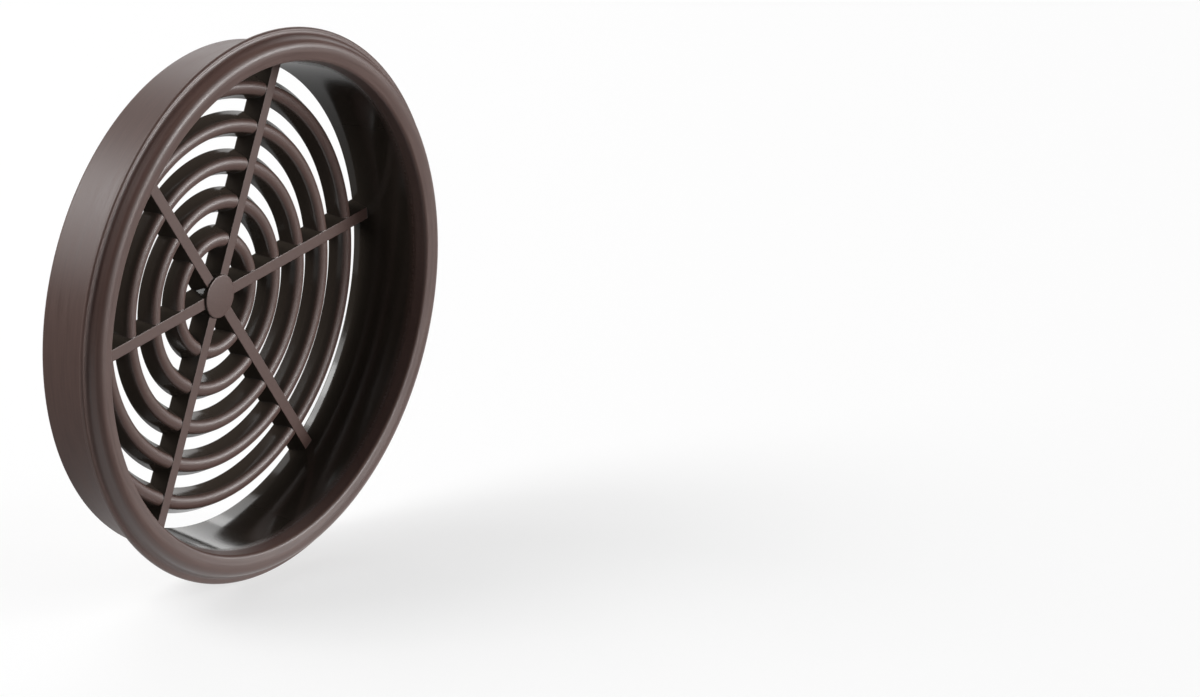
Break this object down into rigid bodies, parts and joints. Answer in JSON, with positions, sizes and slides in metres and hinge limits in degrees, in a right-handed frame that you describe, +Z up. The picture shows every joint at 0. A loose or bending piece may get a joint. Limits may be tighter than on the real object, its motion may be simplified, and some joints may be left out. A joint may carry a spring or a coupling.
{
  "type": "round vent cover",
  "caption": "Round push-in vent cover with a beaded front flange, a short collar and a recessed grille of concentric rings on spokes.",
  "frame": {"origin": "on the collar's axis, in the plane of the flange's back face, which seats on the panel", "axes": "+Y along the collar's axis, from the flange into the panel, so the front faces -Y; +Z up, as in an upright panel"},
  "size_m": [0.0656, 0.0099, 0.0656],
  "materials": {
    "brown_plastic": "satin"
  },
  "bodies": {
    "root": {"vent_cover": "brown_plastic"}
  },
  "joints": []
}
